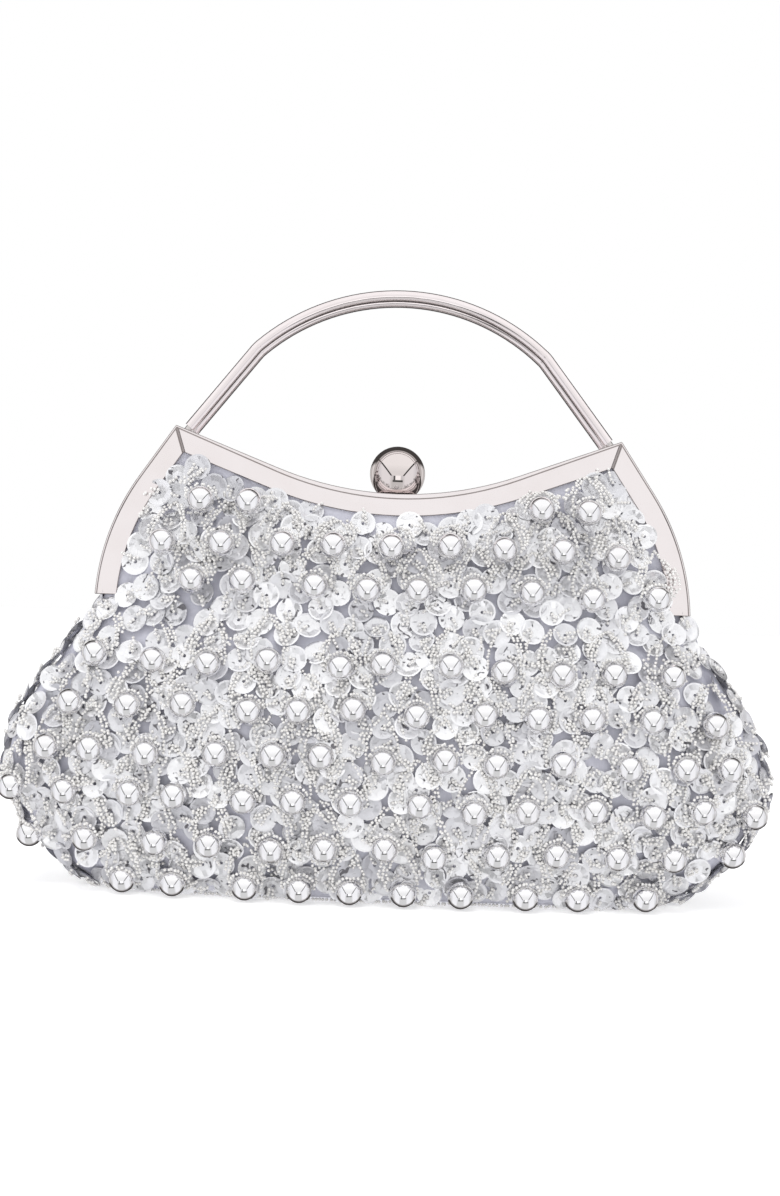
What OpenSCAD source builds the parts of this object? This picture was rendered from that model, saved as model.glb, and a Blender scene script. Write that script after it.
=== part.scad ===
// Evening bag: a soft beaded pouch on a two-half metal frame with arched handles and a ball clasp.
// Origin at the middle of the base, +X to the bag's right-hand end as its front is seen, -Y to the
// front, +Z up. The frame halves open about one line, hinge_z above the base, in the plane y = 0.

/* [Pouch] */
// Width of the fabric at the belly, the widest height
pouch_w = 274; // [220:1:340]
// Depth of the fabric at the belly
pouch_depth = 53; // [40:1:70]
// Height of the belly above the base
belly_z = 44; // [30:1:55]
// Width of the flat base
base_w = 202; // [150:1:260]
// Depth of the flat base
base_depth = 38; // [28:1:50]
// Depth of the pouch's rim at the hinge line
waist_depth = 37; // [34:1:48]
// Thickness of the satin with its sewn sequins
satin_t = 1.2; // [0.8:0.1:2]
// Thickness of the foam padding
padding_t = 2; // [1:0.5:3]
// Thickness of the lining cloth
lining_t = 0.6; // [0.4:0.1:1]
// Thickness of the stiff board in the base
board_t = 2; // [1:0.5:3]
// Width of the pocket sewn to the lining
pocket_w = 84; // [60:1:110]
// Height of the pocket
pocket_h = 44; // [30:1:48]

/* [Frame] */
// Distance between the frame's two top corners
corner_w = 159.6; // [130:0.2:200]
// Height of the hinge line above the base
hinge_z = 100; // [86:1:120]
// Height of the top corners above the hinge line
arm_rise = 66; // [55:1:80]
// Slope of each side arm below its corner, from the horizontal
side_slope = 56; // [52:1:62]
// Radius of the side arm's outer edge
side_r = 85; // [70:1:102]
// Radius of the top bar's upper edge
top_r = 122; // [100:1:148]
// Slope of the top bar's straight ends
top_slope = 20.6; // [16:0.2:24]
// Width of the frame's face
face_w = 8; // [7:0.5:10]
// Depth of each frame half, front to back
half_depth = 9; // [8.5:0.1:11]
// Thickness of the frame's metal
wall = 1; // [0.8:0.1:1.2]
// Width of the step along the face's outer edge
step_w = 0.8; // [0.5:0.1:1.2]
// How much wider the step is at the middle of the top bar
step_crown = 1; // [0:0.1:1.5]
// Gap between the two closed halves
mouth_gap = 0.3; // [0.2:0.1:0.6]

/* [Hinges] */
// Radius of each hinge ear
ear_r = 3.8; // [3:0.1:4]
// Thickness of each hinge ear
ear_t = 1.5; // [1:0.1:2]
// Radius of each hinge rivet
hinge_pin_r = 1.2; // [0.8:0.1:1.5]
// Running clearance on pins, in radius
running = 0.05; // [0.02:0.01:0.1]

/* [Handle] */
// Diameter of each handle's bar
bar_d = 4; // [3:0.5:5]
// Radius of the handle's arch, at the bar's centre
arch_r = 76.6; // [60:0.2:92]
// Half of the angle that the arch spans
arch_half = 42; // [36:1:46]
// Slope of the straight legs, from the horizontal
leg_slope = 52; // [50:1:58]
// Radius of the bend between arch and leg
bend_r = 12; // [8:1:20]
// Distance of each leg's foot inboard of the frame's corner
foot_inset = 4.6; // [4:0.1:8]
// Smallest gap between a leg's foot and the frame
foot_gap = 0.7; // [0.4:0.1:1.5]
// Distance of each handle in front of or behind the closed mouth
handle_y = 5.6; // [5:0.1:6]
// Radius of the studs that hold the handles
stud_r = 1.3; // [1:0.1:1.4]
// Radius of the nuts on the studs
nut_r = 2; // [1.8:0.1:2.2]

/* [Clasp] */
// Diameter of the clasp's ball
ball_d = 20; // [16:0.5:24]
// How far the ball sinks into its seat in the top bar
ball_dip = 2.3; // [1:0.1:2.4]
// Distance of the lever's pivot behind the closed mouth
pivot_y = 2.6; // [2.4:0.1:3]
// Depth of the lever's pivot below the top bar's upper edge
pivot_drop = 5.8; // [5.4:0.1:7]
// Radius of the lever's stem
stem_r = 1.5; // [1.2:0.1:1.7]
// Radius of the lever's barrel
barrel_r = 1.6; // [1.5:0.1:1.8]
// Radius of the lever's pin
clasp_pin_r = 0.75; // [0.6:0.05:0.8]
// Angle that the ball tips backwards to let go
clasp_tip = 15; // [8:1:15]

/* [Beading] */
// Diameter of the metal beads
pearl_d = 10; // [7:0.5:11]
// Distance between beads along a row
pearl_pitch = 20; // [16:1:28]
// Distance between rows on the pouch
row_pitch = 15.8; // [14:0.2:20]
// Number of rows on the pouch below the hinge line
pouch_rows = 6; // [4:1:6]
// Most that a bead strays sideways from its row's even spacing
stray = 3; // [0:0.5:3]

/* [Hidden] */
$fn = 48;

// Gap kept between layers and pieces that lie against each other
lay_gap = 0.1;
// Small length by which a cut passes a face
past = 0.5;

// Frame outline
corner_x = corner_w / 2;
corner_z = hinge_z + arm_rise;
side_turn = 90 - side_slope;
side_line = (arm_rise - side_r * sin(side_turn)) / sin(side_slope);
hinge_x = corner_x + side_line * cos(side_slope) + side_r * (1 - cos(side_turn));
side_cx = hinge_x - side_r;
top_dip = top_r * (1 - cos(top_slope)) + (corner_x - top_r * sin(top_slope)) * tan(top_slope);
top_z = corner_z - top_dip;
arc_step = 2;
groove_w = 0.56;
groove_past = 1.5;
strap_front = 1.2;
strap_inset = 0.5;
ear_gap = 0.7;
arm_end_z = hinge_z + ear_r + ear_gap;
mitre = (180 - side_slope - top_slope) / 2;
waist_past = 1;
waist_w = 2 * hinge_x + waist_past;

// Layers inside each frame half, as distances from the plane of the mouth
mating_y = mouth_gap / 2;
mating_t = wall * 0.8;
panel_gap = 0.3;
face_y = half_depth - wall;
panel_y = face_y - panel_gap;
gimp_y = panel_y - satin_t - lay_gap;
gimp_t = 0.6;
gimp_gap = 0.2;
panel_lining_y = gimp_y - gimp_t - lay_gap;
nut_lean = 17;
nut_room = 2.1;
fabric_inset = wall + 2 * nut_r * sin(nut_lean) + nut_room;
mating_w = face_w * 0.75;

// Points of the pouch's rings and of the panels' grids
section_power = 2.4;
ring_points = 40;
ring_levels = 8;
// How the wall swells from the base to the belly, and narrows from there to the hinge line
swell_power = 0.8;
neck_power = 1.3;
// Share of the bag's half width at which the rim starts to dip, and how soon it is down
rim_start = 0.78;
rim_slope = 1.6;
grid_u = 16;
grid_v = 6;
rim_dip = 8;
// Height above the hinge line at which the panels start
foot_rise = 4;
panel_foot = hinge_z + foot_rise;
// Room left between a panel's foot and the pouch's rim that it swings past
foot_clear = 1;
// Largest share of the half width at which the rim's depth is worked out
rim_end = 0.999;
// Flat edge of a panel, then the lengths over which it bulges, along and up
flat_edge = 6;
bulge_run = 34;
bulge_rise = 30;
rise_share = 0.6;
ease_power = 2.2;
lining_share = 0.9;
// Angle that each frame half opens
open_angle = 30;

// Handle path
foot_x = corner_x - foot_inset;
foot_low_x = foot_x - bar_d / 2 * sin(leg_slope);
foot_z = corner_z + (foot_low_x - corner_x) * tan(top_slope) + foot_gap + bar_d / 2 * cos(leg_slope);
bend = leg_slope - arch_half;
bend_dx = bend_r * (sin(leg_slope) - sin(arch_half));
bend_dz = bend_r * (cos(arch_half) - cos(leg_slope));
leg_length = (foot_x - arch_r * sin(arch_half) - bend_dx) / cos(leg_slope);
arch_end_z = foot_z + leg_length * sin(leg_slope) + bend_dz;
arch_cz = arch_end_z - arch_r * cos(arch_half);
stud_in = 6;
stud_out = 4.7;
nut_t = 1.3;
stud_end = 0.3;
// How much wider than the bar each brazed joint is
braze = 0.06;

// Clasp
ball_r = ball_d / 2;
ball_z = top_z + ball_r - ball_dip;
pivot_z = top_z - pivot_drop;
seat_gap = 0.4;
tab_w = 20;
tab_low = 13.3;
window_w = 6.4;
ball_sides = 64;
window_edge = 0.2;
window_low = pivot_z - 3;
window_high = pivot_z + 1.5;
lever_w = 5;
arm_low = pivot_z - 1.3;
arm_high = pivot_z - 0.1;
hook_tip = pivot_z - 2.6;
hook_reach = 1.9;
hook_nose = 1.1;
ear_x = 3.6;
clasp_ear_t = 1.2;
clasp_ear_r = 2.2;
plate_t = 0.5;
plate_edge = 1;
plate_drop = 3;
clasp_rivet_r = 0.9;
clasp_rivet_x = 7;
clasp_rivet_z = pivot_z - 1;
head_t = 0.8;
head_gap = 0.2;
pin_over = 0.3;
rivet_head = 1.6;
plate_head = 1.7;
pin_head = 1.35;
spring_wire = 0.45;
spring_gap = 0.05;
spring_trim = 0.01;
// Middle of the first turn, and the turns' radius outside the pin, in widths of the wire
spring_first = 0.55;
spring_out = 0.75;
// Height of the stem's top in the ball, as a share of the ball's radius below its centre
stem_end = 0.5;
// Room round the stem's path through the rear half
stem_gap = 0.5;

// Rows of beads
pearl_r = pearl_d / 2;
// Room between a bead and the pouch, the floor and a panel
pearl_stand = 0.7;
row_lift = 0.3;
panel_stand = 3.7;
pearl_off = pearl_r + pearl_stand;
first_row = pearl_r + row_lift;
panel_pearl_off = pearl_r + panel_stand;
// Heights of the panels' rows above the hinge line
panel_rises = [9, 23.5, 38.5];
// Largest share of the pouch's half width at which a bead can be sewn
pearl_end = 0.985;
// Beads tried along a panel's row, as a share of those that reach its corners
row_spare = 1.25;
// How close a bead's centre comes to the arms and the bar, in radii of the bead
arm_room = 0.8;
bar_room = 1.1;
// Depth below the corners above which an arm's edge isn't followed
corner_room = 12;
bead_sides = 32;
row_reach = 0.96;
row_sag = 0.8;

// ---- Frame outline: every edge is the outer edge moved inwards by d ----

// Outer corner of the edge at inset d
function corner_at(d) = let (reach = d / sin(mitre))
  [corner_x + reach * cos(180 + top_slope + mitre), corner_z + reach * sin(180 + top_slope + mitre)];

// Side arm's edge: how far out it is at height z
function arm_x(z, d) = let (arc_top = hinge_z + (side_r - d) * sin(side_turn))
  z <= arc_top
    ? side_cx + sqrt(pow(side_r - d, 2) - pow(z - hinge_z, 2))
    : corner_x - (d + (z - corner_z) * cos(side_slope)) / sin(side_slope);

// Top bar's edge: how high it is at distance x
function bar_z(x, d) = abs(x) <= (top_r + d) * sin(top_slope)
  ? top_z + top_r - sqrt(pow(top_r + d, 2) - x * x)
  : corner_z + (-d + (abs(x) - corner_x) * sin(top_slope)) / cos(top_slope);

// Right-hand half of an edge, from the arm's end up to the middle of the top bar
function right_edge(d, crown) = let (
    low = asin((arm_end_z - hinge_z) / (side_r - d)),
    arc_n = ceil((side_turn - low) / arc_step),
    top_n = ceil(top_slope / arc_step),
    corner = corner_at(d)
  ) concat(
    [for (i = [0:arc_n]) let (a = low + (side_turn - low) * i / arc_n)
      [side_cx + (side_r - d) * cos(a), hinge_z + (side_r - d) * sin(a)]],
    [corner],
    [for (i = [top_n:-1:0]) let (x = (top_r + d) * sin(top_slope * i / top_n))
      [x, bar_z(x, d) - crown * (1 - pow(x / corner_x, 2))]]
  );

function left_edge(d, crown) = let (right = right_edge(d, crown), n = len(right))
  [for (i = [n - 2:-1:0]) [-right[i][0], right[i][1]]];

// Band between the edges at insets d0 and d1, from y0 to y1
module band(d0, d1, y0, y1, crown = 0) {
  outer = concat(right_edge(d0, crown), left_edge(d0, crown));
  inner = concat(right_edge(d1, 0), left_edge(d1, 0));
  n = len(inner);
  translate([0, y1, 0]) rotate([90, 0, 0]) linear_extrude(y1 - y0)
    polygon(concat(outer, [for (i = [n - 1:-1:0]) inner[i]]));
}

// Box from one corner to the other
module block(low, high) translate(low) cube(high - low);

// Cylinder along X from x0 to x1
module rod_x(r, x0, x1, y, z) translate([x0, y, z]) rotate([0, 90, 0]) cylinder(r = r, h = x1 - x0);

// Cylinder along Y from y0 to y1
module rod_y(r, x, y0, y1, z) translate([x, y1, z]) rotate([90, 0, 0]) cylinder(r = r, h = y1 - y0);

// Places children at both ends of the bag
module both_ends() {
  children();
  mirror([1, 0, 0]) children();
}

// Turns children to run down the right-hand leg's line, with the foot at the origin
module at_foot() translate([foot_x, -handle_y, foot_z]) rotate([0, 90 + leg_slope, 0]) children();

// Turns children as the tipped clasp is turned
module tipped(angle) translate([0, pivot_y, pivot_z]) rotate([-angle, 0, 0])
  translate([0, -pivot_y, -pivot_z]) children();

// ---- Frame halves ----

// A front half: face, web and mating wall, with the tab that takes the clasp
module half_channel() {
  band(0, face_w, -half_depth + wall / 2, -half_depth + wall);
  band(step_w, face_w, -half_depth, -half_depth + wall / 2, step_crown);
  band(0, wall, -half_depth + wall / 2, -mating_y);
  band(0, mating_w, -mating_y - mating_t, -mating_y);
  block([-tab_w / 2, -mating_y - mating_t, top_z - tab_low],
    [tab_w / 2, -mating_y, top_z - wall]);
}

// Groove across the face at each mitred corner
module mitre_groove() {
  both_ends() translate([corner_x, -half_depth, corner_z])
    rotate([0, 180 - top_slope - mitre, 0]) rotate([45, 0, 0])
    translate([-groove_past, -groove_w / 2, -groove_w / 2]) cube([face_w * 2, groove_w, groove_w]);
}

// Strap and ear of a front half's hinge, at distance x0 from the middle
module hinge_ear(x0) {
  x1 = x0 + ear_t;
  strap_top = hinge_z + 3 * ear_r;
  both_ends() difference() {
    union() {
      rod_x(ear_r, x0, x1, 0, hinge_z);
      block([x0, -ear_r - strap_front, hinge_z], [x1, -mating_y - mating_t / 2, strap_top]);
    }
    rod_x(hinge_pin_r + running, x0 - past, x1 + past, 0, hinge_z);
    block([x0 - past, -past - mating_y, hinge_z + ear_r - 2 * lay_gap], [x1 + past, ear_r, strap_top + past]);
  }
}

front_ear_x = hinge_x - face_w / 2 + strap_inset;
rear_ear_x = hinge_x - face_w / 2 - ear_t - strap_inset;

module frame_half(ear_x0) {
  difference() {
    half_channel();
    mitre_groove();
    both_ends() at_foot() translate([0, 0, -past]) cylinder(r = stud_r + running, h = stud_out + past);
    block([-window_w / 2, -mating_y - mating_t - past, window_low], [window_w / 2, past, window_high]);
    for (side = [-1, 1])
      rod_y(clasp_rivet_r + running, side * clasp_rivet_x, -mating_y - mating_t - past, past, clasp_rivet_z);
  }
  hinge_ear(ear_x0);
}

module front_frame() color([0.93, 0.89, 0.88]) difference() {
  frame_half(front_ear_x);
  translate([0, 0, ball_z]) sphere(r = ball_r + seat_gap);
}

module rear_frame() color([0.93, 0.89, 0.88]) difference() {
  mirror([0, 1, 0]) frame_half(rear_ear_x);
  for (angle = [0, clasp_tip / 2, clasp_tip]) {
    tipped(angle) translate([0, 0, ball_z]) sphere(r = ball_r + seat_gap);
    tipped(angle) block([-stem_r - stem_gap, pivot_y - stem_r - head_gap, pivot_z + barrel_r],
      [stem_r + stem_gap, pivot_y + stem_r + head_gap, ball_z]);
  }
}

module hinge_rivets() color([0.8, 0.78, 0.77]) both_ends() {
  x0 = rear_ear_x;
  x1 = front_ear_x + ear_t;
  rod_x(hinge_pin_r, x0 - head_gap - lay_gap, x1 + head_gap + lay_gap, 0, hinge_z);
  rod_x(hinge_pin_r * rivet_head, x0 - head_gap - head_t, x0 - head_gap, 0, hinge_z);
  rod_x(hinge_pin_r * rivet_head, x1 + head_gap, x1 + head_gap + head_t, 0, hinge_z);
}

// ---- Handles ----

// One arch with its bends and legs, in front of the mouth
module handle() {
  in_r = arch_r - bend_r;
  translate([0, -handle_y, arch_cz]) rotate([90, 0, 0]) rotate([0, 0, 90 - arch_half])
    rotate_extrude(angle = 2 * arch_half) translate([arch_r, 0]) circle(d = bar_d);
  both_ends() {
    translate([in_r * sin(arch_half), -handle_y, arch_cz + in_r * cos(arch_half)])
      rotate([90, 0, 0]) rotate([0, 0, 90 - leg_slope])
      rotate_extrude(angle = bend) translate([bend_r, 0]) circle(d = bar_d);
    translate([arch_r * sin(arch_half), -handle_y, arch_end_z]) sphere(d = bar_d + braze);
    difference() {
      at_foot() translate([0, 0, -leg_length]) cylinder(d = bar_d, h = leg_length);
      at_foot() translate([0, 0, -stud_in - lay_gap]) cylinder(r = stud_r + running, h = stud_in + past);
    }
    at_foot() translate([0, 0, -leg_length]) sphere(d = bar_d + braze);
  }
}

module handle_studs() both_ends() at_foot() translate([0, 0, -stud_in])
  cylinder(r = stud_r, h = stud_in + stud_out);

module handle_nuts() both_ends() at_foot() difference() {
  translate([0, 0, stud_out - nut_t - stud_end]) cylinder(r = nut_r, h = nut_t);
  cylinder(r = stud_r + running, h = stud_out + past);
}

module front_handle() color([0.80, 0.76, 0.76]) handle();
module rear_handle() color([0.80, 0.76, 0.76]) mirror([0, 1, 0]) handle();
module front_handle_studs() color([0.7, 0.68, 0.68]) handle_studs();
module rear_handle_studs() color([0.7, 0.68, 0.68]) mirror([0, 1, 0]) handle_studs();
module front_handle_nuts() color([0.7, 0.68, 0.68]) handle_nuts();
module rear_handle_nuts() color([0.7, 0.68, 0.68]) mirror([0, 1, 0]) handle_nuts();

// ---- Clasp ----

// Plate behind a tab, with the window for the hook; the front half's faces -Y
plate_y = mating_y + mating_t + lay_gap / 2;
module clasp_plate() difference() {
  block([plate_edge - tab_w / 2, -plate_y - plate_t, top_z - tab_low + past],
    [tab_w / 2 - plate_edge, -plate_y, top_z - plate_drop]);
  block([-window_w / 2 - window_edge, -half_depth, window_low - past],
    [window_w / 2 + window_edge, 0, top_z]);
  for (side = [-1, 1]) rod_y(clasp_rivet_r + running, side * clasp_rivet_x, -half_depth, 0, clasp_rivet_z);
}

module plate_rivets() for (side = [-1, 1]) {
  x = side * clasp_rivet_x;
  back = -plate_y - plate_t;
  rod_y(clasp_rivet_r, x, back - head_gap, -mating_y, clasp_rivet_z);
  rod_y(clasp_rivet_r * plate_head, x, back - head_t, back - lay_gap / 2, clasp_rivet_z);
}

module clasp_keeper() color([0.75, 0.73, 0.72]) clasp_plate();
module keeper_rivets() color([0.7, 0.68, 0.68]) plate_rivets();
module bracket_rivets() color([0.7, 0.68, 0.68]) mirror([0, 1, 0]) plate_rivets();

module clasp_bracket() color([0.75, 0.73, 0.72]) {
  mirror([0, 1, 0]) clasp_plate();
  ear_end = ear_x + clasp_ear_t;
  both_ends() difference() {
    union() {
      block([ear_x, plate_y, pivot_z - clasp_ear_r], [ear_end, pivot_y, pivot_z + clasp_ear_r]);
      rod_x(clasp_ear_r - lay_gap, ear_x, ear_end, pivot_y, pivot_z);
    }
    rod_x(clasp_pin_r + running, ear_x - past, ear_end + past, pivot_y, pivot_z);
    block([ear_x - past, 0, pivot_z - 2 * clasp_ear_r], [ear_end + past, plate_y, pivot_z + 2 * clasp_ear_r]);
  }
}

module clasp_pin() color([0.7, 0.68, 0.68]) {
  end_x = ear_x + clasp_ear_t + lay_gap;
  rod_x(clasp_pin_r, -end_x - pin_over, end_x + pin_over, pivot_y, pivot_z);
  both_ends() rod_x(clasp_pin_r * pin_head, end_x, end_x + pin_over + head_gap, pivot_y, pivot_z);
}

// Two turns of spring wire on each side of the lever's barrel
module clasp_spring() color([0.6, 0.6, 0.62]) for (side = [-1, 1], turn = [0, 1])
  translate([side * (lever_w / 2 + spring_gap + spring_wire * (turn + spring_first)), pivot_y, pivot_z])
    rotate([0, 90, 0]) rotate_extrude() translate([clasp_pin_r + spring_wire * spring_out, 0])
    circle(d = spring_wire - 2 * spring_trim);

module clasp_lever() color([0.78, 0.75, 0.74]) {
  difference() {
    union() {
      rod_x(barrel_r, -lever_w / 2, lever_w / 2, pivot_y, pivot_z);
      translate([0, pivot_y, pivot_z]) cylinder(r = stem_r, h = ball_z - pivot_z - ball_r * stem_end);
      block([-lever_w / 2, -hook_reach, arm_low], [lever_w / 2, pivot_y, arm_high]);
      block([-lever_w / 2, -hook_reach, hook_tip], [lever_w / 2, -hook_nose, arm_high]);
    }
    rod_x(clasp_pin_r + running, -lever_w / 2 - past, lever_w / 2 + past, pivot_y, pivot_z);
  }
}

module clasp_ball() color([0.86, 0.83, 0.83]) difference() {
  translate([0, 0, ball_z]) sphere(r = ball_r, $fn = ball_sides);
  translate([0, pivot_y, ball_z - ball_d])
    cylinder(r = stem_r + running, h = ball_d - ball_r * stem_end + lay_gap);
}

// ---- Pouch below the hinge line ----

// Share of the way from the base's size to the belly's, and from the rim's size to the belly's
function swell(z) = pow(max(0, sin(90 * z / belly_z)), swell_power);
function neck(z) = pow(max(0, cos(90 * (z - belly_z) / (hinge_z - belly_z))), neck_power);

function pouch_half_w(z) = z < belly_z
  ? base_w / 2 + (pouch_w - base_w) / 2 * swell(z)
  : waist_w / 2 + (pouch_w - waist_w) / 2 * neck(z);

function pouch_half_d(z) = z < belly_z
  ? base_depth / 2 + (pouch_depth - base_depth) / 2 * swell(z)
  : waist_depth / 2 + (pouch_depth - waist_depth) / 2 * neck(z);

function bulged(c) = sign(c) * pow(abs(c), 2 / section_power);

// The rim dips at both ends of the bag, under the hinges
function rim_share(a) = let (s = max(0, (abs(bulged(cos(a))) - rim_start) / (1 - rim_start)))
  1 - rim_dip / hinge_z * min(1, s * rim_slope);

// Insets and floors of the layers, from the satin inwards
padding_d = satin_t + lay_gap;
board_gap = 0.6;
board_d = padding_d + board_gap;
lining_d = padding_d + padding_t + lay_gap;
board_low = satin_t + lay_gap;
padding_low = board_low + board_t + lay_gap;
lining_low = padding_low + padding_t + lay_gap;

// Heights of the wall's rings, shared by every layer so that their facets lie side by side
ring_rise = 1;
rim_hem = 4;
first_ring = lining_low + lining_t + ring_rise;
layer_top = hinge_z - rim_dip - rim_hem;
levels = [for (k = [0:ring_levels]) first_ring + (layer_top - first_ring) * k / ring_levels];
wide = [for (z = concat([0], levels, [hinge_z])) [z, pouch_half_w(z)]];
deep = [for (z = concat([0], levels, [hinge_z])) [z, pouch_half_d(z)]];

// A ring of the pouch at height z, moved inwards by d; the rim's ring dips at its ends
function ring(z, d, dips) = [for (i = [0:ring_points - 1]) let (
    a = 360 * (i + 0.5) / ring_points,
    h = dips ? z * rim_share(a) : z
  ) [(lookup(h, wide) - d) * bulged(cos(a)), (lookup(h, deep) - d) * bulged(sin(a)), h]];

// Rings of one face of a layer, from its floor to its top
function face_rings(low, d, rim) = concat(
  [ring(low, d, false)],
  [for (z = levels) ring(z, d, false)],
  rim ? [ring(hinge_z, d, true)] : []
);

// Closed shell between insets d0 and d1, with its floor between low0 and low1
module pouch_layer(d0, d1, low0, low1, rim = false) {
  outer = face_rings(low0, d0, rim);
  inner = face_rings(low1, d1, rim);
  m = len(outer);
  n = ring_points;
  rings = concat(outer, [for (k = [m - 1:-1:0]) inner[k]]);
  points = [for (one = rings) for (p = one) p];
  sides = [for (k = [0:2 * m - 2]) for (i = [0:n - 1]) let (
      a = k * n + i,
      b = (k + 1) * n + i,
      c = (k + 1) * n + (i + 1) % n,
      e = k * n + (i + 1) % n
    ) each (k < m ? [[a, b, c], [a, c, e]] : [[a, b, e], [b, c, e]])];
  last = (2 * m - 1) * n;
  polyhedron(points, concat(sides, [[for (i = [0:n - 1]) i]], [[for (i = [n - 1:-1:0]) last + i]]));
}

module satin_shell() color([0.70, 0.70, 0.76]) pouch_layer(0, satin_t, 0, satin_t, true);
module padding() color([0.9, 0.9, 0.88]) pouch_layer(padding_d, padding_d + padding_t, padding_low,
  padding_low + padding_t);
module lining() color([0.6, 0.6, 0.65]) pouch_layer(lining_d, lining_d + lining_t, lining_low,
  lining_low + lining_t);

module base_board() color([0.75, 0.7, 0.62]) translate([0, 0, board_low]) linear_extrude(board_t)
  polygon([for (i = [0:ring_points - 1]) let (a = 360 * (i + 0.5) / ring_points)
    [(base_w / 2 - board_d) * bulged(cos(a)), (base_depth / 2 - board_d) * bulged(sin(a))]]);

// ---- Sheets between the arms, and the pocket: grids of points with a front and a back ----

// Closed sheet whose front, seen from -Y, is the grid front[] and whose back is the grid back[]
module sheet(front, back, nu, nv) {
  w = nu + 1;
  half = w * (nv + 1);
  cell_faces = [for (j = [0:nv - 1]) for (i = [0:nu - 1]) let (a = j * w + i) each [
    [a, a + w, a + w + 1, a + 1],
    [half + a, half + a + 1, half + a + w + 1, half + a + w]
  ]];
  rim_faces = [for (i = [0:nu - 1]) let (top = nv * w + i) each [
    [i, i + 1, half + i + 1, half + i],
    [top, half + top, half + top + 1, top + 1]
  ]];
  end_faces = [for (j = [0:nv - 1]) let (a = j * w, b = j * w + nu) each [
    [a, half + a, half + a + w, a + w],
    [b, b + w, half + b + w, half + b]
  ]];
  polyhedron(concat(front, back), concat(cell_faces, rim_faces, end_faces));
}

// How far in front of the mouth a panel's foot is at distance x, just inside the pouch's rim
function foot_y(x) = let (
    share = pow(1 - pow(min(rim_end, abs(x) / (waist_w / 2)), section_power), 1 / section_power),
    rim = (waist_depth / 2 - satin_t) * share - foot_clear
  ) max(panel_y, rim * cos(open_angle));

// How far a panel stands out of its channel at distance x and grid place u, v
function ease(t) = 1 - pow(1 - min(1, max(0, t)), ease_power);
function bulge(x, u, v) = ease(((1 - abs(u)) * corner_x - flat_edge) / bulge_run)
  * ease(((1 - v) * arm_rise * rise_share - flat_edge) / bulge_rise) * (foot_y(x) - panel_y);

// Grid of a panel whose face is y0 in front of the mouth, and bulges by a share of the full bulge
function panel_grid(y0, share) = [for (j = [0:grid_v]) for (i = [0:grid_u]) let (
    u = sin(90 * (2 * i / grid_u - 1)),
    v = sin(90 * j / grid_v),
    side_z = panel_foot + v * (corner_at(fabric_inset)[1] - panel_foot),
    x = u * arm_x(side_z, fabric_inset),
    z = panel_foot + v * (bar_z(u * corner_at(fabric_inset)[0], fabric_inset) - panel_foot)
  ) [x, -y0 - share * bulge(x, u, v), z]];

module panel() sheet(panel_grid(panel_y, 1), panel_grid(panel_y - satin_t, 1), grid_u, grid_v);
module panel_lining() sheet(panel_grid(panel_lining_y, lining_share),
  panel_grid(panel_lining_y - lining_t, lining_share), grid_u, grid_v);

// Strip that wedges the cloth in the channel
module gimp() band(fabric_inset + gimp_gap, face_w - 2 * gimp_gap, -gimp_y, -gimp_y + gimp_t);

module front_panel() color([0.72, 0.72, 0.78]) panel();
module rear_panel() color([0.72, 0.72, 0.78]) mirror([0, 1, 0]) panel();
module front_panel_lining() color([0.6, 0.6, 0.65]) panel_lining();
module rear_panel_lining() color([0.6, 0.6, 0.65]) mirror([0, 1, 0]) panel_lining();
module front_gimp() color([0.85, 0.84, 0.8]) gimp();
module rear_gimp() color([0.85, 0.84, 0.8]) mirror([0, 1, 0]) gimp();

// Pocket against the rear of the lining
pocket_drop = 4;
pocket_top = layer_top - pocket_drop;
pocket_gap = 0.6;
pocket_u = 8;
pocket_v = 4;
function pocket_grid(d) = [for (j = [0:pocket_v]) for (i = [0:pocket_u]) let (
    x = pocket_w * (i / pocket_u - 0.5),
    z = pocket_top - pocket_h * (1 - j / pocket_v),
    share = pow(1 - pow(abs(x) / (pouch_half_w(z) - d), section_power), 1 / section_power)
  ) [x, -(pouch_half_d(z) - d) * share, z]];

module lining_pocket() color([0.55, 0.55, 0.6]) mirror([0, 1, 0])
  sheet(pocket_grid(lining_d + lining_t + pocket_gap), pocket_grid(lining_d + 2 * lining_t + pocket_gap),
    pocket_u, pocket_v);

// ---- Metal beads ----

// Repeatable stray of bead i of row j, from 0 to 1
function stray_of(i, j, k) = let (s = sin(i * 129.3 + j * 311.7 + k * 74.7) * 437.585) s - floor(s);

// Bead on the front of the pouch, at distance x and height z
function pouch_bead(x, z) = let (
    w = pouch_half_w(z),
    d = pouch_half_d(z),
    sx = min(pearl_end, abs(x) / w),
    sy = pow(1 - pow(sx, section_power), 1 / section_power),
    nx = pow(sx, section_power - 1) / w,
    ny = pow(sy, section_power - 1) / d,
    n = sqrt(nx * nx + ny * ny)
  ) [sign(x) * (sx * w + pearl_off * nx / n), -(sy * d + pearl_off * ny / n), z];

// Row j of the pouch, counted from the base; side is 1 at the front and 2 at the rear
function pouch_row(j, side) = let (
    z = first_row + j * row_pitch,
    reach = row_reach * pouch_half_w(z),
    shift = (j + side) % 2 / 2,
    count = floor(reach / pearl_pitch + 0.5)
  ) [for (i = [-count:count]) let (
      x = (i + shift) * pearl_pitch + stray * (2 * stray_of(i, j, side) - 1),
      rise = j == 0 ? 0 : -row_sag * stray * stray_of(i, j, side + 2)
    ) if (abs(x) < reach) pouch_bead(x, z + rise)];

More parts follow.
